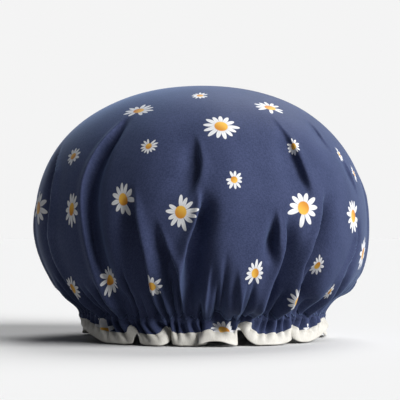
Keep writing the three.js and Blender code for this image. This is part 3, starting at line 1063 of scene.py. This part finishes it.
def lining_rise():
    """How far out the lining stands: as the deepest cloth of the cover beside it, smoothed, less the gap"""
    beside = range(-LINING_REACH, LINING_REACH + 1)
    deepest = np.min([np.roll(BODY_RISE, step, axis=1) for step in beside], axis=0)
    half = LINING_REACH // 2
    smooth = np.mean([np.roll(deepest, step, axis=1) for step in range(-half, half + 1)], axis=0)
    return smooth - LINING_GAP


def lining_points():
    """The lining, inside the cover, drawn in behind the elastic in its channel. On its way in it cuts
    through the elastic, and in places through the cover beside the upper seam."""
    points = COVER - FRILL_LINING_GAP * COVER_NORMALS
    points[:len(BODY_RUNS)] = body_points(lining_rise(), 0.0)
    ring = BAND_RADIUS - BAND_THICKNESS - CHANNEL_LINING_GAP
    turn = np.arctan2(points[..., 0], -points[..., 1])
    radius = np.hypot(points[..., 0], points[..., 1])
    drawn = smooth_step(ALL_RUNS, BODY_RUN - LINING_DRAWN_IN[0], BODY_RUN - LINING_DRAWN_IN[1])
    drawn *= 1 - smooth_step(ALL_RUNS, CHANNEL_RUN, CHANNEL_RUN + LINING_LET_OUT)
    pulled = np.minimum(radius, ring - SEAM_GATHER * (1 - GATHERS))
    radius += (pulled - radius) * drawn[:, None]
    return placed(turn, radius, points[..., 2])


def dress_lining():
    return finish_piece("lining", sheet_mesh(lining_points()), film_finish())


def dress_elastic():
    """The flat elastic ring, with rounded edges. Both edges run from the inside out, so its sides cross."""
    ring = bmesh.new()
    edge = BAND_THICKNESS / 2
    corners = []
    for height, tilt in ((BAND_LOW + edge, -1), (BAND_HIGH - edge, 1)):
        for angle in np.radians(np.linspace(-90, 90, BAND_EDGE_POINTS)):
            out = BAND_RADIUS - edge + edge * math.sin(angle)
            corners.append(ring.verts.new((out, 0.0, height + tilt * edge * math.cos(angle))))
    outline = [ring.edges.new(pair) for pair in zip(corners, corners[1:] + corners[:1])]
    bmesh.ops.spin(
        ring, geom=corners + outline, axis=(0, 0, 1), cent=(0, 0, 0), angle=2 * math.pi, steps=BAND_STEPS,
        use_merge=True,
    )
    bmesh.ops.remove_doubles(ring, verts=ring.verts, dist=SEAM_MERGE)
    bmesh.ops.recalc_face_normals(ring, faces=ring.faces)
    return finish_piece("elastic_band", ring, knit_finish())


def tape_shares():
    """The frill's share at each step across the tape, for each column, so that the tape keeps its width"""
    shares = np.linspace(0, 1, TAPE_SAMPLES)
    steps = np.linalg.norm(np.diff([frill_points(share) for share in shares], axis=0), axis=2)
    depth = np.concatenate([np.cumsum(steps[::-1], axis=0)[::-1], np.zeros((1, COLUMNS))])
    reach = np.minimum(BINDING_HEIGHT, depth[0] - NECK_CLEAR)
    return [
        np.array([np.interp(-part * reach[k], -depth[:, k], shares) for k in range(COLUMNS)])
        for part, standoff in BINDING_SECTION
    ]


def binding_points():
    """The tape, from the top of its outer leg, round the hem, to the top of its inner leg"""
    legs = []
    for side in (1, -1):
        leg = []
        for at, (part, standoff) in zip(tape_shares(), BINDING_SECTION):
            strip = np.stack([frill_points(at + step) for step in (-TAPE_STEP, 0, TAPE_STEP)])
            leg.append(strip[1] + side * standoff * BINDING_STANDOFF * normals_of(strip)[1])
        legs.append(leg)
    strip = np.stack([frill_points(1 - step) for step in (2 * TAPE_STEP, TAPE_STEP, 0)])
    down = strip[2] - strip[1]
    down /= np.linalg.norm(down, axis=1, keepdims=True)
    normal = normals_of(strip)[2]
    fold = [
        strip[2] + BINDING_STANDOFF * (math.cos(turn) * normal + math.sin(turn) * down)
        for turn in np.radians(TAPE_EDGE_TURNS)
    ]
    return np.stack([*legs[0], *fold, *legs[1][::-1]])


BINDING = binding_points()
BINDING_NORMALS = normals_of(BINDING)


def dress_binding():
    return finish_piece("edge_binding", sheet_mesh(BINDING), tape_finish(), levels=1)


# Stitching

def stitch_mesh():
    """One stitch before it is drawn out, a small ball of unit radius"""
    ball = bmesh.new()
    bmesh.ops.create_uvsphere(ball, u_segments=STITCH_SIDES, v_segments=STITCH_RINGS, radius=1.0)
    mesh = bpy.data.meshes.new("stitch")
    ball.to_mesh(mesh)
    ball.free()
    return mesh


def stitch_row(name, route, normals, finish):
    """Separate short stitches along a closed route, sunk a little into the cloth"""
    laps = np.concatenate([route, route[:1]])
    normal_laps = np.concatenate([normals, normals[:1]])
    run = lengths_along(laps)

    def value_at(values, length):
        return np.array([np.interp(length, run, values[:, axis]) for axis in range(3)])

    count = round(run[-1] / (STITCH_LENGTH + STITCH_GAP))
    half = THREAD_THICKNESS / 2
    stitch = stitch_mesh()
    row = bmesh.new()
    for middle in (np.arange(count) + 0.5) * run[-1] / count:
        start, end = (value_at(laps, middle + side * STITCH_LENGTH / 2) for side in (-1, 1))
        out = Vector(value_at(normal_laps, middle)).normalized()
        along = Vector(end - start)
        side = out.cross(along).normalized()
        size = Matrix.Diagonal((half, half, along.length / 2, 1.0))
        basis = Matrix((side, out, along.normalized())).transposed().to_4x4()
        spot = Matrix.Translation(Vector((start + end) / 2) - out * THREAD_THICKNESS * STITCH_SUNK)
        place = spot @ basis @ size
        stitch.transform(place)
        row.from_mesh(stitch)
        stitch.transform(place.inverted())
    bpy.data.meshes.remove(stitch)
    return finish_piece(name, row, finish)


# The room

def add_sun(name, turn, rise, strength, softness):
    """A soft lamp far off, at a turn from the front and a rise above the floor, in degrees"""
    data = bpy.data.lights.new(name, "SUN")
    data.energy = strength
    data.angle = math.radians(softness)
    lamp = bpy.data.objects.new(name, data)
    away = placed(math.radians(turn), math.cos(math.radians(rise)), math.sin(math.radians(rise)))
    lamp.rotation_euler = Vector(away).to_track_quat("Z", "Y").to_euler()
    bpy.context.scene.collection.objects.link(lamp)


def seen_rays(start):
    """1 on rays that show a thing to the camera, straight, mirrored or through glass, and 0 on others"""
    path = start.make("ShaderNodeLightPath", output="Is Camera Ray")
    seen = start.math("MAXIMUM", path, path.sibling("Is Glossy Ray"))
    return start.math("MAXIMUM", seen, path.sibling("Is Transmission Ray"))


def light_room():
    """A low soft lamp at the right, a higher one behind, and a pale room"""
    add_sun("window", *WINDOW_LAMP)
    add_sun("overhead", *OVERHEAD_LAMP)
    world = bpy.data.worlds.new("room")
    world.use_nodes = True
    bpy.context.scene.world = world
    world.node_tree.nodes.clear()
    start = Wire(world.node_tree)
    plain = start.make("ShaderNodeBackground", None, {"Color": ROOM_LIGHT, "Strength": ROOM_STRENGTH})
    shown = start.make("ShaderNodeBackground", None, {"Color": BACKDROP, "Strength": 1.0})
    mixed = start.make("ShaderNodeMixShader", None, {0: seen_rays(start), 1: plain, 2: shown})
    start.make("ShaderNodeOutputWorld", None, {"Surface": mixed})


def lay_floor():
    """A wide pale floor"""
    slab = bmesh.new()
    bmesh.ops.create_grid(slab, x_segments=2, y_segments=2, size=FLOOR_REACH)
    finish, start = new_finish("pale_floor")
    close_finish(start, {
        "Base Color": seen_rays(start).mixed(FLOOR_LIT, FLOOR_SEEN),
        "Roughness": 0.9,
        "Specular IOR Level": 0.0,
    })
    floor = finish_piece("floor", slab, finish)
    floor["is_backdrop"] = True


# Everything in its place

cover = dress_cover()
lining = dress_lining()
elastic = dress_elastic()
binding = dress_binding()
navy_thread = thread_finish("navy_thread", *NAVY_THREAD)
cream_thread = thread_finish("cream_thread", *CREAM_THREAD)
upper_thread = stitch_row("upper_channel_thread", COVER[BODY_ROWS], COVER_NORMALS[BODY_ROWS], navy_thread)
lower_thread = stitch_row(
    "lower_channel_thread", COVER[LOWER_SEAM_ROW], COVER_NORMALS[LOWER_SEAM_ROW], navy_thread
)
binding_thread = stitch_row(
    "binding_thread", BINDING[BINDING_STITCH_ROW], BINDING_NORMALS[BINDING_STITCH_ROW], cream_thread
)
light_room()
lay_floor()

CAP_PIECES = (
    (cover, "cover_satin"), (lining, "lining_film"), (elastic, "elastic_knit"), (binding, "binding_tape"),
    (upper_thread, "cover_thread"), (lower_thread, "cover_thread"), (binding_thread, "binding_thread"),
)
for piece, slot in CAP_PIECES:
    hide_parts(piece.name + "_left", piece.name + "_right")
    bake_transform(piece)

bpy.context.scene.view_settings.view_transform = "Standard"
boxes = {"cad": cad_box, "visual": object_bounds()}
{name: [list(corner) for corner in box] for name, box in boxes.items()}
